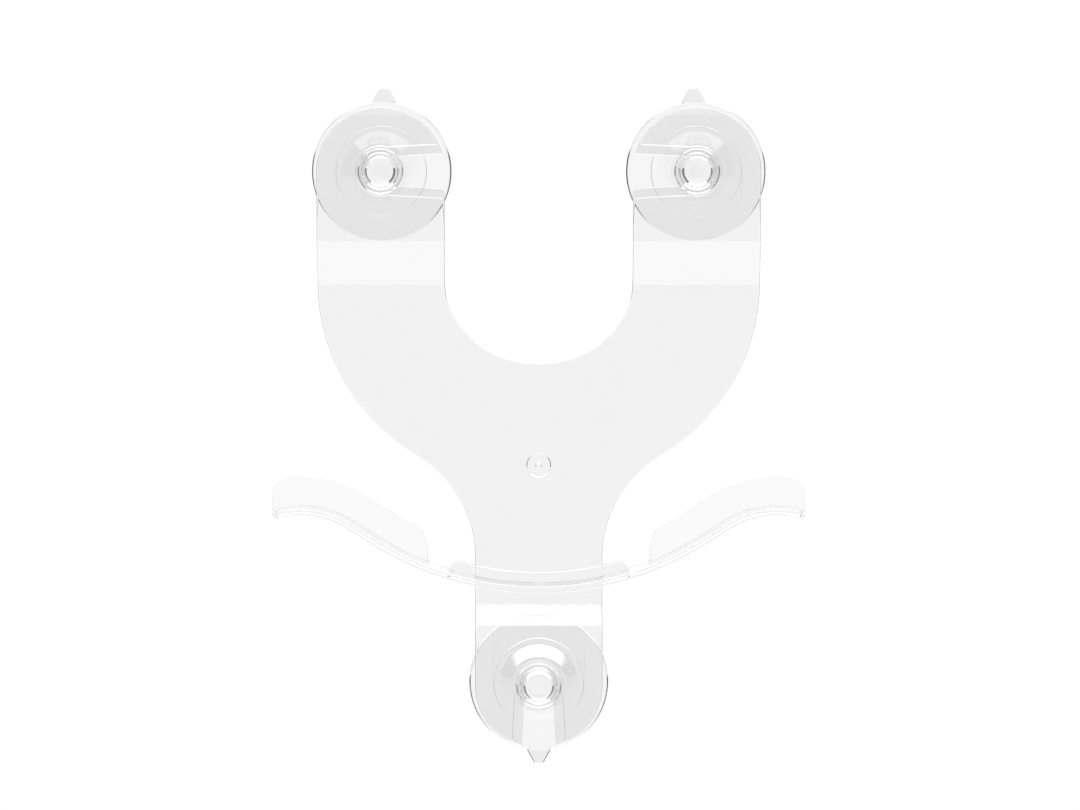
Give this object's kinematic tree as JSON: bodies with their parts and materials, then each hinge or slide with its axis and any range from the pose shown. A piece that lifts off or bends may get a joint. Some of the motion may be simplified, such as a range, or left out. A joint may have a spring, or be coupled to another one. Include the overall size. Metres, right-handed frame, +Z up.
{
  "type": "suction cup window cradle",
  "caption": "Clear Y-shaped window cradle on suction cups, with an S-curved front ledge and lips that hold a light object.",
  "frame": {"origin": "on the pane, on the cradle's centre line, at half the height between the bottom cup's axis and the two upper cups' axes", "axes": "+Z up along the centre line, +X to the right as seen from the room, +Y into the pane, so that the cradle stands in front of the pane at negative Y"},
  "size_m": [0.1716, 0.0228, 0.2216],
  "materials": {
    "bracket_plastic": "clear injection-moulded plastic, polished",
    "cup_pvc": "clear soft PVC, smooth and glossy"
  },
  "bodies": {
    "cradle": {"bracket": "bracket_plastic"},
    "cup_left": {"suction_cup_left": "cup_pvc"},
    "cup_right": {"suction_cup_right": "cup_pvc"},
    "cup_bottom": {"suction_cup_bottom": "cup_pvc"}
  },
  "joints": [
    {"name": "cup_left_slide", "type": "slide", "parent": "cradle", "child": "cup_left", "axis": [1, 0, 0], "range_m": [0, 0.0255]},
    {"name": "cup_right_slide", "type": "slide", "parent": "cradle", "child": "cup_right", "axis": [-1, 0, 0], "range_m": [0, 0.0255]},
    {"name": "cup_bottom_slide", "type": "slide", "parent": "cradle", "child": "cup_bottom", "axis": [0, 0, -1], "range_m": [0, 0.0255]}
  ]
}
